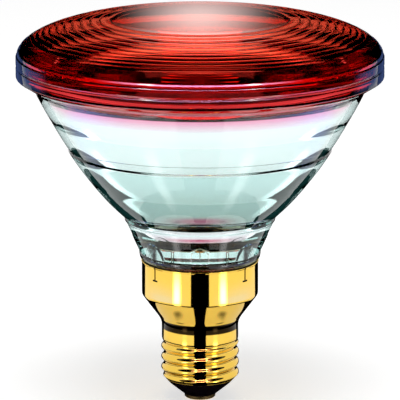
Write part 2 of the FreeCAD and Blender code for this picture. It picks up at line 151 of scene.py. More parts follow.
LENS_RADIUS = lens_high.x
SEAM_RADIUS = LENS_RADIUS - SEAM_LEDGE
MOUTH_RADIUS = glass_high.x
SKIRT_RADIUS = cap_high.x - SKIRT_LIP
THREAD_ROOT_RADIUS = THREAD_CREST_RADIUS - THREAD_DEPTH
BARREL_RADIUS = THREAD_CREST_RADIUS - BARREL_SHY
NECK_RADIUS = SKIRT_RADIUS - SHELL_WALL - NECK_CLEARANCE
NECK_BORE_RADIUS = NECK_RADIUS - NECK_WALL
BEAD_RADIUS = NECK_RADIUS + BEAD_PROUD
NECK_RING_RADIUS = BOWL_START_RADIUS + STEP_LEDGE + NECK_RING_PROUD

SHELL_Z = cap_low.z
BARREL_Z = SHELL_Z + THREAD_LENGTH
CONE_Z = BARREL_Z + BARREL_LENGTH
SKIRT_Z = CONE_Z + CONE_LENGTH
RIM_Z = cap_high.z
HEEL_Z = glass_low.z
FLOOR_Z = HEEL_Z + FLOOR_THICKNESS
BEAD_Z = RIM_Z + BEAD_HEIGHT
MIRROR_FOOT_Z = mirror_low.z
BOWL_Z = MIRROR_FOOT_Z + MIRROR_DROP
NECK_RING_Z = BOWL_Z - NECK_RING_HEIGHT
MOUTH_Z = lens_low.z
BOWL_HEIGHT = MOUTH_Z - BOWL_Z
RIM_BOTTOM_Z = MOUTH_Z + FLARE_HEIGHT
RIM_TOP_Z = RIM_BOTTOM_Z + RIM_HEIGHT
CROWN_HEIGHT = lens_high.z + RIB_HEIGHT - RIM_TOP_Z
CROWN_Z = RIM_TOP_Z + CROWN_HEIGHT

# Colours, and the heights where they change
CAP_COLOUR = (0.89, 0.58, 0.09)
# Painted black reflection on the brass: a ring at the foot of the cap's cone, with its heights and soft edge
PAINTED_REFLECTION_BLACK = (0.02, 0.012, 0.004)
PAINTED_REFLECTION_RING = (24.4, 28.0)
PAINTED_REFLECTION_RING_EDGE = 0.3
# Painted dark reflection of the cap's edge in the glass below the top of the bead: its colour, how far below
# the top it ends, and its soft edge
BEAD_PAINTED_REFLECTION = (0.14, 0.09, 0.04)
BEAD_PAINTED_REFLECTION_DROP = 1.0
BEAD_PAINTED_REFLECTION_EDGE = 0.3
NECK_GREEN = (0.92, 0.98, 0.97)
MOUTH_GREEN = (0.97, 0.99, 0.99)
FILM_FOOT = (0.80, 0.90, 0.89)
# Painted pink reflection of the red lens in the film of the neck, and how far below the bowl's start it is
# strongest
FILM_NECK_PAINTED_PINK = (0.95, 0.62, 0.72)
FILM_NECK_PAINTED_PINK_DROP = 4.0
FILM_NECK_TOP = (0.97, 0.95, 0.96)
# Band tones, lowest first: green from the glass's tint, and darker towards the neck as painted reflection of
# the shaded floor under the lamp
FILM_BAND_TINTS_AND_PAINTED_SHADE = [(0.44, 0.57, 0.55), (0.62, 0.76, 0.75), (0.86, 0.89, 0.89), (0.97, 0.97, 0.98)]
FILM_BAND_EDGE = 0.15
# Painted pink reflection of the red lens at the top of the film, and the depth over which it comes in
FILM_RIM_PAINTED_PINK = (0.91, 0.22, 0.43)
FILM_RIM_PAINTED_PINK_DEPTH = 5.0
# Red of the lens by share of its height, lowest first; the dark red at the bottom is painted shade of the
# flare
RED_SHARES_AND_PAINTED_SHADE = [(0.0, (0.40, 0.02, 0.02)), (0.14, (0.45, 0.03, 0.03)), (0.2, (0.90, 0.05, 0.06)),
              (0.4, (0.93, 0.05, 0.05)), (0.8, (0.95, 0.05, 0.02)), (0.95, (0.94, 0.12, 0.06)),
              (1.0, (0.93, 0.25, 0.13))]

# Camera, as the photograph was taken
CAMERA_DISTANCE = 1.2
CAMERA_ELEVATION = 13.0
CAMERA_AIM_Z = 0.068
CAMERA_LENS = 323.5

# Floor, light and cards
FLOOR_SIZE = 8.0
FLOOR_GLOW = 0.62
WORLD_LIGHT = 0.25
KEY_ENERGY = 9.0
KEY_SIZE = 0.8
KEY_PLACE = (0, -0.25, 1.3)
CARD_STEPS = 24


def arc(start, middle, end, steps):
    """Points on the circular arc through three (radius, height) points, without the last one."""
    (ax, ay), (bx, by), (cx, cy) = start, middle, end
    twice = 2 * (ax * (by - cy) + bx * (cy - ay) + cx * (ay - by))
    ox = ((ax * ax + ay * ay) * (by - cy) + (bx * bx + by * by) * (cy - ay)
          + (cx * cx + cy * cy) * (ay - by)) / twice
    oy = ((ax * ax + ay * ay) * (cx - bx) + (bx * bx + by * by) * (ax - cx)
          + (cx * cx + cy * cy) * (bx - ax)) / twice
    radius = math.hypot(ax - ox, ay - oy)
    first = math.atan2(ay - oy, ax - ox)
    turn_to_middle = math.remainder(math.atan2(by - oy, bx - ox) - first, math.tau)
    turn_to_end = math.remainder(math.atan2(cy - oy, cx - ox) - first, math.tau)
    if turn_to_end * turn_to_middle < 0:
        turn_to_end += math.copysign(math.tau, turn_to_middle)
    angles = [first + turn_to_end * i / steps for i in range(steps)]
    return [(ox + radius * math.cos(a), oy + radius * math.sin(a)) for a in angles]


def run(start, end, steps=1):
    """Points on a straight run, without the last one."""
    return [(start[0] + (end[0] - start[0]) * i / steps, start[1] + (end[1] - start[1]) * i / steps)
            for i in range(steps)]


def rounded(points, radius, steps=4):
    """Open chain of straight runs with its inner corners rounded by short curves."""
    result = [points[0]]
    for before, corner, after in zip(points[:-2], points[1:-1], points[2:]):
        reach = []
        for other in (before, after):
            length = math.dist(other, corner)
            share = min(radius, length * 0.45) / length
            reach.append((corner[0] + (other[0] - corner[0]) * share,
                          corner[1] + (other[1] - corner[1]) * share))
        for i in range(steps + 1):
            t = i / steps
            result.append(tuple(reach[0][k] * (1 - t) ** 2 + corner[k] * 2 * t * (1 - t) + reach[1][k] * t * t
                                for k in (0, 1)))
    return result + [points[-1]]


def lathe(name, profile, shape=None):
    """Closed skin of revolution through a closed (radius, height) profile.

    shape gives each point's radius from its angle, radius and height.
    """
    rows = np.array(profile, float)
    angles = np.arange(SEGMENTS) * math.tau / SEGMENTS
    radius = np.repeat(rows[:, :1], SEGMENTS, 1)
    height = np.repeat(rows[:, 1:], SEGMENTS, 1)
    if shape:
        radius = shape(np.repeat(angles[None, :], len(rows), 0), radius, height)
    points = np.stack([radius * np.cos(angles), radius * np.sin(angles), height], -1).reshape(-1, 3) * MM
    faces = []
    for i in range(len(rows)):
        k = (i + 1) % len(rows)
        if rows[i][0] == 0 and rows[k][0] == 0:
            continue
        for j in range(SEGMENTS):
            n = (j + 1) % SEGMENTS
            faces.append((i * SEGMENTS + j, i * SEGMENTS + n, k * SEGMENTS + n, k * SEGMENTS + j))
    mesh = bpy.data.meshes.new(name)
    mesh.from_pydata([tuple(p) for p in points], [], faces)
    return finished(name, mesh)


def finished(name, mesh):
    """Object from a mesh, with doubles merged, normals outward and smooth shading between sharp edges."""
    work = bmesh.new()
    work.from_mesh(mesh)
    bmesh.ops.remove_doubles(work, verts=work.verts, dist=1e-7)
    bmesh.ops.recalc_face_normals(work, faces=work.faces)
    work.to_mesh(mesh)
    work.free()
    mesh.polygons.foreach_set("use_smooth", [True] * len(mesh.polygons))
    mesh.set_sharp_from_angle(angle=math.radians(SHARP_ANGLE))
    piece = bpy.data.objects.new(name, mesh)
    bpy.context.scene.collection.objects.link(piece)
    return piece


# Materials

def material(name, **sockets):
    """Principled material with constant values on the shader's own sockets."""
    made = bpy.data.materials.new(name)
    made.use_nodes = True
    shader = made.node_tree.nodes["Principled BSDF"]
    for socket, value in sockets.items():
        shader.inputs[socket.replace("_", " ")].default_value = value
    return made


def node(made, kind, **sockets):
    """New node with some input values, by socket name."""
    added = made.node_tree.nodes.new(kind)
    for socket, value in sockets.items():
        added.inputs[socket.replace("_", " ")].default_value = value
    return added


def link(made, source, output, target, entry):
    """Link between two nodes by socket name."""
    made.node_tree.links.new(source.outputs[output], target.inputs[entry])


def shader_of(made):
    """The material's Principled shader."""
    return made.node_tree.nodes["Principled BSDF"]


def colour_by_height(made, tones):
    """Base colour that follows (height, colour) tones, lowest first."""
    low = tones[0][0]
    high = tones[-1][0]
    coordinates = node(made, "ShaderNodeTexCoord")
    split = node(made, "ShaderNodeSeparateXYZ")
    share = node(made, "ShaderNodeMapRange", From_Min=low * MM, From_Max=high * MM)
    colours = node(made, "ShaderNodeValToRGB")
    elements = colours.color_ramp.elements
    elements[0].color = (*tones[0][1], 1)
    elements[1].color = (*tones[-1][1], 1)
    for height, colour in tones[1:-1]:
        elements.new((height - low) / (high - low)).color = (*colour, 1)
    link(made, coordinates, "Object", split, "Vector")
    link(made, split, "Z", share, "Value")
    link(made, share, "Result", colours, "Fac")
    link(made, colours, "Color", shader_of(made), "Base Color")


def bump_from_noise(made, scale, distance, strength):
    """Fine unevenness of the surface."""
    coordinates = node(made, "ShaderNodeTexCoord")
    noise = node(made, "ShaderNodeTexNoise", Scale=scale, Detail=3.0)
    bump = node(made, "ShaderNodeBump", Distance=distance, Strength=strength)
    link(made, coordinates, "Object", noise, "Vector")
    link(made, noise, "Fac", bump, "Height")
    link(made, bump, "Normal", shader_of(made), "Normal")


def roughness_from_noise(made, scale, low, high):
    """Roughness that varies a little over the surface."""
    coordinates = node(made, "ShaderNodeTexCoord")
    noise = node(made, "ShaderNodeTexNoise", Scale=scale, Detail=4.0)
    spread = node(made, "ShaderNodeMapRange", To_Min=low, To_Max=high)
    link(made, coordinates, "Object", noise, "Vector")
    link(made, noise, "Fac", spread, "Value")
    link(made, spread, "Result", shader_of(made), "Roughness")


def red_glass():
    """Ruby glass of the lens, with painted shade that makes it dark red at the flare, and more orange at the
    top of the crown.
    """
    made = material("red_glass", Transmission_Weight=1.0, IOR=1.49)
    # The bottom of this ramp is painted shade at the flare
    colour_by_height(made, [(MOUTH_Z + (CROWN_Z - MOUTH_Z) * share, colour) for share, colour in RED_SHARES_AND_PAINTED_SHADE])
    roughness_from_noise(made, 60, 0.0, 0.02)
    return made


def clear_glass():
    """Clear pressed glass with a faint green tint, and a painted dark reflection of the cap's edge below the
    top of the bead.
    """
    made = material("clear_glass", Transmission_Weight=1.0, IOR=1.47)
    # Below this height the glass carries a painted dark reflection of the cap's edge
    painted_reflection_top = BEAD_Z - BEAD_PAINTED_REFLECTION_DROP
    colour_by_height(made, [(HEEL_Z, BEAD_PAINTED_REFLECTION), (painted_reflection_top, BEAD_PAINTED_REFLECTION),
                            (painted_reflection_top + BEAD_PAINTED_REFLECTION_EDGE, NECK_GREEN), (MOUTH_Z, MOUTH_GREEN)])
    roughness_from_noise(made, 40, 0.0, 0.015)
    depth = node(made, "ShaderNodeVolumeAbsorption", Color=(0.5, 0.92, 0.88, 1), Density=40.0)
    link(made, depth, "Volume", made.node_tree.nodes["Material Output"], "Volume")
    return made


def mirror_film():
    """Bright aluminium film with painted reflections: pink from the red lens in the neck and at the top
    beside the lens, and band by band darker towards the neck as painted shade of the floor under the lamp;
    the green is the glass's tint.
    """
    made = material("mirror_film", Metallic=1.0)
    top = mirror_high.z
    edges = [BOWL_Z, BOWL_Z + LOW_RING_HEIGHT, BOWL_Z + STEP_HEIGHT, BOWL_Z + HIGH_RING_HEIGHT,
             top - FILM_RIM_PAINTED_PINK_DEPTH]
    # Painted pink reflection of the red lens in the neck
    tones = [(MIRROR_FOOT_Z, FILM_FOOT), (BOWL_Z - FILM_NECK_PAINTED_PINK_DROP, FILM_NECK_PAINTED_PINK),
             (BOWL_Z, FILM_NECK_TOP)]
    # Band tones carry the glass's green tint and painted shade, darker towards the neck
    for colour, low, high in zip(FILM_BAND_TINTS_AND_PAINTED_SHADE, edges[:-1], edges[1:]):
        tones += [(low + FILM_BAND_EDGE, colour), (high - FILM_BAND_EDGE, colour)]
    # Painted pink reflection of the red lens at the top of the film
    tones.append((top, FILM_RIM_PAINTED_PINK))
    colour_by_height(made, tones)
    roughness_from_noise(made, 90, 0.04, 0.08)
    return made


def brass(name, colour, low, high):
    """Polished drawn brass with fine variation."""
    made = material(name, Metallic=1.0, Base_Color=(*colour, 1))
    roughness_from_noise(made, 120, low, high)
    return made


def cap_brass():
    """Bright brass with a painted black reflection as a ring at the foot of the cap's cone."""
    made = brass("cap_brass", CAP_COLOUR, 0.04, 0.07)
    # The dark ring is painted reflection, not a colour of the brass
    low, high = PAINTED_REFLECTION_RING
    colour_by_height(made, [(low, CAP_COLOUR), (low + PAINTED_REFLECTION_RING_EDGE, PAINTED_REFLECTION_BLACK),
                            (high - PAINTED_REFLECTION_RING_EDGE, PAINTED_REFLECTION_BLACK), (high, CAP_COLOUR)])
    return made


def plain_metal(name, colour, low, high):
    """Dull metal of leads, thimbles and solder."""
    made = material(name, Metallic=1.0, Base_Color=(*colour, 1))
    roughness_from_noise(made, 200, low, high)
    return made


def black_glass():
    """Black glass of the cap's insulator."""
    made = material("insulator_glass", Base_Color=(0.012, 0.008, 0.012, 1), IOR=1.5)
    roughness_from_noise(made, 90, 0.04, 0.12)
    bump_from_noise(made, 220, 0.00008, 0.4)
    return made


MATERIALS = {"red_glass": red_glass(),
             "clear_glass": clear_glass(),
             "mirror_film": mirror_film(),
             "cap_brass": cap_brass(),
             "contact_brass": brass("contact_brass", (0.62, 0.42, 0.16), 0.22, 0.38),
             "insulator_glass": black_glass(),
             "solder": plain_metal("solder", (0.55, 0.55, 0.57), 0.3, 0.5),
             "tungsten": plain_metal("tungsten", (0.32, 0.31, 0.30), 0.35, 0.5),
             "lead_wire": plain_metal("lead_wire", (0.66, 0.65, 0.62), 0.2, 0.35),
             "ferrule_metal": plain_metal("ferrule_metal", (0.60, 0.58, 0.54), 0.2, 0.35)}


def dress(piece, slot, *nodes):
    """Gives a piece its finish, lets it ride with the lamp, and hides the nodes that it stands for."""
    piece.data.materials.clear()
    piece.data.materials.append(MATERIALS[slot])
    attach(piece, "root")
    if nodes:
        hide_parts(*nodes)
    return piece


# Cap

def thread_shape(inset):
    """Radius of the screw shell: a round helical ridge on its stretch of the height."""
    start = SHELL_Z - THREAD_PITCH / 2

    def shape(angle, radius, height):
        phase = (height - start) / THREAD_PITCH - angle / math.tau
        ridge = (0.5 + 0.5 * np.cos(phase * math.tau)) ** THREAD_SHARPNESS
        rise = np.clip((height - SHELL_Z - THREAD_START_LIFT) / SHELL_CURL, 0, 1)
        fall = np.clip((BARREL_Z - THREAD_END_GAP - height) / THREAD_RUN_OUT, 0, 1)
        blend = rise * rise * (3 - 2 * rise) * fall * fall * (3 - 2 * fall)
        floor = np.maximum(radius, THREAD_ROOT_RADIUS - inset)
        threaded = floor + (THREAD_CREST_RADIUS - inset - floor) * ridge * blend
        in_sheet = radius > THREAD_CREST_RADIUS - THREAD_SHEET
        on_thread = (height < BARREL_Z) & (height > SHELL_Z) & in_sheet
        return np.where(on_thread, np.maximum(threaded, radius), radius)

    return shape


def cap_line(inset):
    """One side of the cap's sheet from its bottom edge to under the lip."""
    root = THREAD_ROOT_RADIUS - inset
    barrel = BARREL_RADIUS - inset
    skirt = SKIRT_RADIUS - inset
    thread_end = BARREL_Z - BARREL_STEP_DROP
    step = rounded([(root, thread_end), (root, BARREL_Z - BARREL_STEP_RISE), (barrel, BARREL_Z),
                    (barrel, BARREL_Z + BARREL_STEP_EASE)], BARREL_STEP_ROUND)
    halfway = ((barrel + skirt) / 2, (CONE_Z + SKIRT_Z) / 2)
    foot = rounded([(barrel, CONE_Z - CONE_FOOT_REACH), (barrel, CONE_Z), halfway], CONE_FOOT_FILLET, 12)
    top = rounded([halfway, (skirt, SKIRT_Z), (skirt, SKIRT_Z + CONE_TOP_REACH)], CONE_TOP_FILLET, 6)
    lip = (skirt, RIM_Z - SKIRT_LIP_HEIGHT)
    return (run((root, SHELL_Z + SHELL_CURL), (root, thread_end), 76) + step + foot[:-1] + top
            + run((skirt, SKIRT_Z + SKIRT_START_LIFT), lip, 4) + [lip])


def make_cap():
    """Brass skirt, cone, barrel and screw shell with a round thread, slotted at the crimps."""
    outer = cap_line(0.0)
    inner = cap_line(SHELL_WALL)
    lip = SKIRT_RADIUS + SKIRT_LIP
    curl = THREAD_ROOT_RADIUS - SHELL_CURL
    rim = [(lip, RIM_Z - SKIRT_LIP_HEIGHT * 0.55), (lip, RIM_Z - LIP_EDGE), (lip - LIP_EDGE, RIM_Z),
           (lip - SHELL_WALL, RIM_Z)]
    foot = rounded([inner[0], (curl, SHELL_Z + SHELL_WALL), (curl, SHELL_Z),
                    (curl + SHELL_CURL * 0.6, SHELL_Z), outer[0]], EDGE_ROUND)[1:-1]

    def shape(angle, radius, height):
        outside = thread_shape(0.0)(angle, radius, height)
        inside = thread_shape(SHELL_WALL)(angle, radius, height)
        rows = np.arange(radius.shape[0])[:, None]
        return np.where(rows < len(outer) + len(rim), outside, inside)

    cap = lathe("cap_shell_sheet", outer + rim + inner[::-1] + foot, shape)
    slot_foot = RIM_Z - CRIMP_SLOT_DEPTH
    for angle in CRIMP_ANGLES:
        cut_slot(cap, angle, CRIMP_SLOT_WIDTH, slot_foot, RIM_Z + 1)
        cut_slot(cap, angle, CRIMP_SPUR_WIDTH, slot_foot, slot_foot + CRIMP_SLOT_WIDTH)
    return dress(cap, "cap_brass", "cap_shell")


def cut_slot(piece, angle, width, low, high):
    """Cuts a narrow slot through the skirt at an angle from the front."""
    bpy.ops.mesh.primitive_cube_add(size=1)
    cutter = bpy.context.object
    turn = math.radians(angle - 90)
    cutter.scale = (CRIMP_CUT_THROUGH * MM, width * MM, (high - low) * MM)
    cutter.location = (SKIRT_RADIUS * math.cos(turn) * MM, SKIRT_RADIUS * math.sin(turn) * MM,
                       (low + high) / 2 * MM)
    cutter.rotation_euler = (0, 0, turn)
    cut = piece.modifiers.new("slot", "BOOLEAN")
    cut.operation = "DIFFERENCE"
    cut.object = cutter
    cut.solver = "EXACT"
    bpy.context.view_layer.update()
    graph = bpy.context.evaluated_depsgraph_get()
    mesh = bpy.data.meshes.new_from_object(piece.evaluated_get(graph))
    piece.modifiers.clear()
    piece.data = mesh
    bpy.data.objects.remove(cutter)


# Bowl

def bowl_radius(height, wall=0.0):
    """Parabola of the bowl at a height above its start, drawn inwards by the wall."""
    growth = (MOUTH_RADIUS ** 2 - BOWL_START_RADIUS ** 2) / BOWL_HEIGHT
    radius = math.sqrt(BOWL_START_RADIUS ** 2 + growth * height)
    slope = growth / 2 / radius
    share = NECK_SIDE_THINNING + (1 - NECK_SIDE_THINNING) * height / BOWL_HEIGHT
    return radius - wall * math.hypot(1, slope) * share


def bowl_arc(low, high, wall, shift, bulge, steps=12):
    """Arc of the bowl between two heights, bulged a little."""
    middle = (low + high) / 2
    return arc((bowl_radius(low, wall) + shift, BOWL_Z + low),
               (bowl_radius(middle, wall) + shift + bulge, BOWL_Z + middle),
               (bowl_radius(high, wall) + shift, BOWL_Z + high), steps)


def bowl_inside(shift=0.0):
    """Inside of the bowl from the foot of the mirror in the neck up to the mouth."""
    heights = [0.0, LOW_RING_HEIGHT, STEP_HEIGHT, HIGH_RING_HEIGHT, BOWL_HEIGHT]
    foot = (NECK_BORE_RADIUS + shift, MIRROR_FOOT_Z)
    start = (bowl_radius(0.0, BOWL_WALL) + shift, BOWL_Z)
    reach = math.dist(foot, start)
    middle = ((foot[0] + start[0]) / 2 + FILM_FOOT_BOW * (start[1] - foot[1]) / reach,
              (foot[1] + start[1]) / 2 - FILM_FOOT_BOW * (start[0] - foot[0]) / reach)
    points = arc(foot, middle, start, 16)
    for low, high in zip(heights[:-1], heights[1:]):
        points += bowl_arc(low, high, BOWL_WALL, shift, BAND_BULGE)
    return points + [(bowl_radius(BOWL_HEIGHT, BOWL_WALL) + shift, MOUTH_Z)]


def bowl_outside():
    """Outside of the bowl from its start up to the mouth: shallow rings, with a ledge above the second."""
    after_step = STEP_HEIGHT + STEP_LEDGE
    lower = (bowl_arc(0.0, LOW_RING_HEIGHT, 0.0, STEP_LEDGE, OUTER_BULGE)
             + bowl_arc(LOW_RING_HEIGHT, STEP_HEIGHT, 0.0, STEP_LEDGE, OUTER_BULGE))
    ledge = [(bowl_radius(STEP_HEIGHT) + STEP_LEDGE, BOWL_Z + STEP_HEIGHT)]
    upper = (bowl_arc(after_step, HIGH_RING_HEIGHT, 0.0, 0.0, OUTER_BULGE)
             + bowl_arc(HIGH_RING_HEIGHT, BOWL_HEIGHT, 0.0, 0.0, OUTER_BULGE))
    return lower + ledge + upper + [(MOUTH_RADIUS, MOUTH_Z)]


def lug_shape(angle, radius, height):
    """Low domed lugs that stand on the bead and follow the cone of the neck."""
    step = math.tau / LUG_COUNT
    across = (np.remainder(angle + math.pi / 2 + step / 2, step) - step / 2) * radius
    up = np.maximum(height - BEAD_Z - LUG_RISE, 0)
    share = np.clip((LUG_RADIUS - np.hypot(across, up)) / LUG_EDGE, 0, 1)
    on_cone = (radius > NECK_RADIUS) & (height > BEAD_Z - LUG_SINK) & (height < NECK_RING_Z)
    return radius + np.where(on_cone, LUG_PROUD * share * share * (3 - 2 * share), 0)


def make_bowl():
    """Pressed glass bowl with its neck, bead, lugs and heel."""
    corner = HEEL_CORNER * (1 - math.sqrt(0.5))
    bead_low = (NECK_RADIUS, RIM_Z + BEAD_EDGE)
    bead_high = (BEAD_RADIUS - BEAD_EDGE, BEAD_Z)
    bead_middle = (BEAD_RADIUS, (bead_low[1] + bead_high[1]) / 2)
    undercut = (NECK_RING_RADIUS - NECK_RING_UNDERCUT, NECK_RING_Z)
    ring_edge = NECK_RING_HEIGHT / 3
    heel_top = (NECK_RADIUS, HEEL_Z + HEEL_CORNER)
    outside = [(0, HEEL_Z)]
    outside += arc((NECK_RADIUS - HEEL_CORNER, HEEL_Z), (NECK_RADIUS - corner, HEEL_Z + corner), heel_top, 6)
    outside += run(heel_top, bead_low, 4)
    outside += arc(bead_low, bead_middle, bead_high, 12)
    outside += run(bead_high, undercut, 40)
    outside += rounded([undercut, (NECK_RING_RADIUS, NECK_RING_Z + ring_edge),
                        (NECK_RING_RADIUS, BOWL_Z - ring_edge), (BOWL_START_RADIUS + STEP_LEDGE, BOWL_Z)],
                       NECK_RING_ROUND)[:-1]
    bore = rounded([(NECK_BORE_RADIUS, MIRROR_FOOT_Z), (NECK_BORE_RADIUS, FLOOR_Z), (0, FLOOR_Z)],
                   FLOOR_ROUND, 6)
    profile = outside + bowl_outside() + bowl_inside()[::-1] + bore[1:]
    return dress(lathe("reflector_bowl", profile, lug_shape), "clear_glass", "reflector_glass")


def make_mirror():
    """Bright film on the inside of the bowl."""
    back = [p for p in bowl_inside(-FILM_GAP) if p[1] < mirror_high.z]
    front = [p for p in bowl_inside(-MIRROR_THICKNESS) if p[1] < mirror_high.z]
    return dress(lathe("mirror_layer", back + front[::-1]), "mirror_film", "mirror_coating")


# Lens

def crown_point(radius, drop=0.0):
    """Point of the crown at a distance from the axis, or a little below it."""
    rise = math.sqrt(max(0.0, 1 - (radius / SEAM_RADIUS) ** CROWN_FULLNESS))
    return (radius, RIM_TOP_Z + CROWN_HEIGHT * rise - drop)


def rib_radius(index):
    """Radius of the valley before a rib: the ribs crowd together towards the edge."""
    share = index / RIB_COUNT
    return FIRST_RIB_RADIUS + (LAST_RIB_RADIUS - FIRST_RIB_RADIUS) * share * (1 + RIB_CROWDING * (1 - share))


def shallow_cap(edge, top, steps):
    """Points from the axis out to an edge point on an arc with its centre on the axis."""
    sag = top - edge[1]
    radius = (edge[0] ** 2 + sag ** 2) / 2 / sag
    return [(edge[0] * i / steps, top - radius + math.sqrt(radius ** 2 - (edge[0] * i / steps) ** 2))
            for i in range(steps)]


def make_lens():
    """Red lens with its ribs, shoulder, seam ledge and deep rim."""
    outside = shallow_cap(crown_point(FIRST_RIB_RADIUS, RIB_HEIGHT), CROWN_Z - RIB_HEIGHT, 16)
    valleys = [rib_radius(index) for index in range(RIB_COUNT + 1)] + [SHOULDER_RIB_RADIUS]
    for inner, outer in zip(valleys[:-1], valleys[1:]):
        outside += arc(crown_point(inner, RIB_HEIGHT), crown_point((inner + outer) / 2),
                       crown_point(outer, RIB_HEIGHT), 8)
    outside += arc(crown_point(SHOULDER_RIB_RADIUS, RIB_HEIGHT),
                   crown_point((SHOULDER_RIB_RADIUS + SEAM_RADIUS) / 2), crown_point(SEAM_RADIUS), 8)
    groove = RIM_BOTTOM_Z + RIM_HEIGHT / 2
    half = RIM_GROOVE_WIDTH / 2
    outside += rounded([(SEAM_RADIUS, RIM_TOP_Z), (LENS_RADIUS, RIM_TOP_Z - SEAM_LEDGE),
                        (LENS_RADIUS, groove + half), (LENS_RADIUS - RIM_GROOVE_DEPTH, groove),
                        (LENS_RADIUS, groove - half), (LENS_RADIUS, RIM_BOTTOM_Z),
                        (MOUTH_RADIUS, MOUTH_Z)], EDGE_ROUND)
    bore = LENS_RADIUS - LENS_WALL
    edge = crown_point(LAST_RIB_RADIUS - LENS_WALL, LENS_WALL)
    inside = rounded([(bowl_radius(BOWL_HEIGHT, BOWL_WALL), MOUTH_Z), (bore, RIM_BOTTOM_Z + LENS_WALL / 2),
                      (bore, RIM_TOP_Z - LENS_WALL / 2), edge], LENS_BORE_ROUND, 6)
    inside += shallow_cap(edge, CROWN_Z - LENS_WALL, 16)[::-1]
    return dress(lathe("lens_glass", outside + inside), "red_glass", "front_lens")


def dress_frame_nodes():
    """Finishes for the pieces whose own shape is right as it is."""
    slots = {row["node"]: row["material_slot"] for row in frame["record"]["subparts"]}
    for name, piece in frame["nodes"].items():
        if not piece.hide_render:
            piece.data.materials.clear()
            piece.data.materials.append(MATERIALS[slots[name]])


make_cap()
make_bowl()
make_mirror()
make_lens()
dress_frame_nodes()


# Stage, lights and camera

def emitter(name, strength, colour):
    """Emission that fades out where the mesh attribute glow is low; black where the strength is nothing."""
    made = bpy.data.materials.new(name)
    made.use_nodes = True
    made.node_tree.nodes.clear()
    glow = node(made, "ShaderNodeEmission", Strength=strength, Color=(*colour, 1))
    clear = node(made, "ShaderNodeBsdfTransparent")
    share = node(made, "ShaderNodeAttribute")
    share.attribute_name = "glow"
    mix = node(made, "ShaderNodeMixShader")
    out = node(made, "ShaderNodeOutputMaterial")
    link(made, share, "Fac", mix, "Fac")
    made.node_tree.links.new(clear.outputs["BSDF"], mix.inputs[1])
    made.node_tree.links.new(glow.outputs["Emission"], mix.inputs[2])
    link(made, mix, "Shader", out, "Surface")
    return made


def fade(share, soft):
    """Smooth rise from 0 at both ends of the range 0 to 1, over the soft part of it."""
    if soft == 0:
        return 1.0
    t = min(1.0, min(share, 1 - share) / soft)
    return t * t * (3 - 2 * t)


def card(name, azimuths, low, high, strength, metal=True, glass=False, colour=(1, 1, 1), soft=0.0,
         both_sides=True, far_low=None, far_high=None):
    """Studio card: a strip of a surface of revolution between two (radius, height) points in metres.

    Azimuths count from the camera's side. far_low and far_high are the two points at the second azimuth,
    where they differ. The camera and the light on the lamp don't see the card.
    """
    ends = ((low, far_low or low), (high, far_high or high))
    for side in (1, -1) if both_sides else (1,):
        points, glow = [], []
        for i in range(CARD_STEPS + 1):
            up = i / CARD_STEPS
            for j in range(CARD_STEPS + 1):
                across = j / CARD_STEPS
                edges = [[near[k] + (far[k] - near[k]) * across for k in (0, 1)] for near, far in ends]
                radius = edges[0][0] + (edges[1][0] - edges[0][0]) * up
                height = edges[0][1] + (edges[1][1] - edges[0][1]) * up
                a = math.radians(azimuths[0] + (azimuths[1] - azimuths[0]) * across) * side
                points.append((radius * math.sin(a), -radius * math.cos(a), height))
                glow.append(fade(across, soft) * fade(up, soft))
        row = CARD_STEPS + 1
        faces = [(i * row + j, i * row + j + 1, (i + 1) * row + j + 1, (i + 1) * row + j)
                 for i in range(CARD_STEPS) for j in range(CARD_STEPS)]
        mesh = bpy.data.meshes.new(name)
        mesh.from_pydata(points, [], faces)
        mesh.attributes.new("glow", "FLOAT", "POINT").data.foreach_set("value", glow)
        mesh.materials.append(emitter(name, strength, colour))
        piece = bpy.data.objects.new(f"{name}_{'left' if side < 0 else 'right'}", mesh)
        bpy.context.scene.collection.objects.link(piece)
        piece.visible_camera = False
        piece.visible_shadow = False
        piece.visible_diffuse = False
        piece.visible_glossy = metal
        piece.visible_transmission = glass


def background_share(made):
    """Node that is 1 for what the camera, metal and glass see, and 0 for the light on the object."""
    path = node(made, "ShaderNodeLightPath")
    first = node(made, "ShaderNodeMath")
    first.operation = "ADD"
    both = node(made, "ShaderNodeMath")
    both.operation = "ADD"
    both.use_clamp = True
    link(made, path, "Is Camera Ray", first, 0)
    link(made, path, "Is Glossy Ray", first, 1)
    link(made, first, "Value", both, 0)
    link(made, path, "Is Transmission Ray", both, 1)
    return both


def make_floor():
    """Plain pale floor that keeps the lamp's shadow."""
    bpy.ops.mesh.primitive_plane_add(size=FLOOR_SIZE)
    floor = bpy.context.object
    floor.name = "floor"
    made = material("floor", Base_Color=(0.8, 0.8, 0.8, 1), Roughness=0.9, Specular_IOR_Level=0.0)
    share = background_share(made)
    level = node(made, "ShaderNodeMath")
    level.operation = "MULTIPLY"
    level.inputs[1].default_value = FLOOR_GLOW
    link(made, share, "Value", level, 0)
    shader = shader_of(made)
    shader.inputs["Emission Color"].default_value = (1, 1, 1, 1)
    link(made, level, "Value", shader, "Emission Strength")
    floor.data.materials.append(made)


def make_world():
    """White surroundings for the camera, metal and glass, and even pale light on the rest."""
    world = bpy.data.worlds.new("studio")
    bpy.context.scene.world = world
    world.use_nodes = True
    background = world.node_tree.nodes["Background"]
    background.inputs["Color"].default_value = (1, 1, 1, 1)
    share = background_share(world)
    level = node(world, "ShaderNodeMapRange", To_Min=WORLD_LIGHT, To_Max=1.0)
    link(world, share, "Value", level, "Value")
    link(world, level, "Result", background, "Strength")


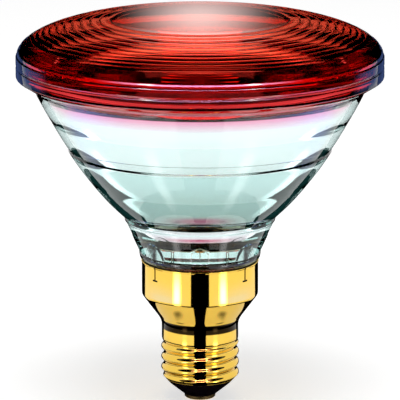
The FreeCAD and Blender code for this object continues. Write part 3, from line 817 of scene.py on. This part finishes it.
def make_camera():
    """Camera at the photograph's viewing angle."""
    elevation = math.radians(CAMERA_ELEVATION)
    data = bpy.data.cameras.new("camera")
    camera = bpy.data.objects.new("camera", data)
    bpy.context.scene.collection.objects.link(camera)
    aim = Vector((0, 0, CAMERA_AIM_Z))
    back = Vector((0, -math.cos(elevation), math.sin(elevation)))
    camera.location = aim + back * CAMERA_DISTANCE
    camera.rotation_mode = "QUATERNION"
    camera.rotation_quaternion = (-back).to_track_quat("-Z", "Y")
    data.lens = CAMERA_LENS
    data.sensor_width = 36.0
    data.clip_start = 0.05
    data.clip_end = 50.0
    bpy.context.scene.camera = camera


def make_key_light():
    """Large soft light from above."""
    data = bpy.data.lights.new("top_light", "AREA")
    data.shape = "SQUARE"
    data.size = KEY_SIZE
    data.energy = KEY_ENERGY
    light = bpy.data.objects.new("top_light", data)
    light.location = KEY_PLACE
    light.visible_glossy = False
    light.visible_transmission = False
    bpy.context.scene.collection.objects.link(light)


make_floor()
make_world()
make_camera()
make_key_light()

# Heights and radii of the cards, in metres
FLOOR_CARD_Z = 0.0002
POOL_Z = 2 * FLOOR_CARD_Z
STRIP_Z = 3 * FLOOR_CARD_Z
FAR = 0.17
NEAR = 0.09
OUTER = 1.0
VIOLET = (0.22, 0.36, 1.0)

# Dark cards that show in the brass
card("front_floor_card", (0, 17), (0.012, FLOOR_CARD_Z), (FAR, FLOOR_CARD_Z), 0.0)
card("front_card", (0, 17), (FAR, 0.0), (FAR, 0.3), 0.0)
card("edge_floor_card", (134, 180), (0.02, FLOOR_CARD_Z), (0.45, FLOOR_CARD_Z), 0.0)
card("foot_card", (0, 180), (0.0, FLOOR_CARD_Z), (0.0145, FLOOR_CARD_Z), 0.0, far_high=(0.026, FLOOR_CARD_Z))
card("foot_ring_card", (0, 134), (0.0212, FLOOR_CARD_Z), (0.05, FLOOR_CARD_Z), 0.0,
     far_low=(0.048, FLOOR_CARD_Z), far_high=(0.06, FLOOR_CARD_Z))
card("olive_card", (46, 90), (0.0185, POOL_Z), (0.0235, POOL_Z), 0.25, soft=0.45,
     far_low=(0.0225, POOL_Z), far_high=(0.0285, POOL_Z))

# White strips and a pale pool that show in the brass
card("strip_box", (34, 54), (FAR - 0.005, 0.0), (FAR - 0.005, 0.08), 9.0, soft=0.4)
card("floor_strip", (34, 54), (0.03, STRIP_Z), (0.1, STRIP_Z), 4.0, soft=0.4)
card("far_floor_strip", (34, 54), (0.11, STRIP_Z), (0.21, STRIP_Z), 11.0, soft=0.4)
card("pale_pool", (17, 134), (0.1, POOL_Z), (0.19, POOL_Z), 1.0, colour=(1.04, 1.24, 3.6),
     soft=0.45)

# Dark tent, glow and seam lights that show in the surface of the lens
card("tent", (0, 180), (NEAR, 0.118), (NEAR, 0.45), 0.0)
card("tent_top", (0, 180), (0.0, 0.45), (NEAR, 0.45), 0.0)
card("rim_tent", (0, 92), (NEAR, 0.092), (NEAR, 0.118), 0.0)
card("violet_side", (74, 108), (NEAR - 0.001, 0.097), (NEAR - 0.001, 0.12), 0.9, colour=VIOLET, soft=0.35)
card("violet_back", (105, 122), (NEAR, 0.092), (NEAR, 0.118), 0.35, colour=VIOLET)
card("violet_edge", (122, 136), (NEAR, 0.092), (NEAR, 0.118), 0.15, colour=VIOLET)
card("rear_glow", (158, 202), (0.085, 0.112), (0.085, 0.2), 2.4, colour=(1.0, 0.72, 0.68), soft=0.5,
     both_sides=False)
card("seam_band", (-44, 44), (0.085, 0.118), (0.085, 0.131), 20.0, colour=(0.8, 0.5, 0.9), soft=0.3,
     both_sides=False)
card("seam_star", (17, 26), (0.084, 0.119), (0.084, 0.132), 50.0, soft=0.45)

# What shows through the glass
card("inner_card", (40, 142), (OUTER, 0.25), (OUTER, 2.0), 0.0, metal=False, glass=True)
card("front_box", (0, 40), (OUTER, 0.2), (OUTER, 0.95), 3.2, metal=False, glass=True)
card("front_top_card", (0, 40), (OUTER, 0.95), (OUTER, 1.9), 0.0, metal=False, glass=True)
card("back_box", (160, 200), (OUTER, 0.6), (OUTER, 1.1), 3.2, metal=False, glass=True, soft=0.3,
     both_sides=False)
card("rim_shade", (45, 150), (0.084, 0.09), (0.084, 0.136), 0.0, metal=False, glass=True)
card("rim_shade_back", (150, 180), (0.084, 0.097), (0.084, 0.113), 0.0, metal=False, glass=True)
card("side_floor_card", (116, 180), (0.06, FLOOR_CARD_Z), (0.124, FLOOR_CARD_Z), 0.04, metal=False,
     glass=True, colour=(0.2, 1.0, 0.95), far_high=(0.34, FLOOR_CARD_Z))
card("side_patch", (98, 118), (0.045, FLOOR_CARD_Z), (0.15, FLOOR_CARD_Z), 2.0, metal=False, glass=True,
     soft=0.35)
card("pink_card", (-60, 60), (0.0205, 0.05), (0.029, 0.05), 1.0, metal=False, glass=True,
     colour=(1.0, 0.25, 0.4), soft=0.5, both_sides=False)

bpy.context.scene.view_settings.view_transform = "Standard"
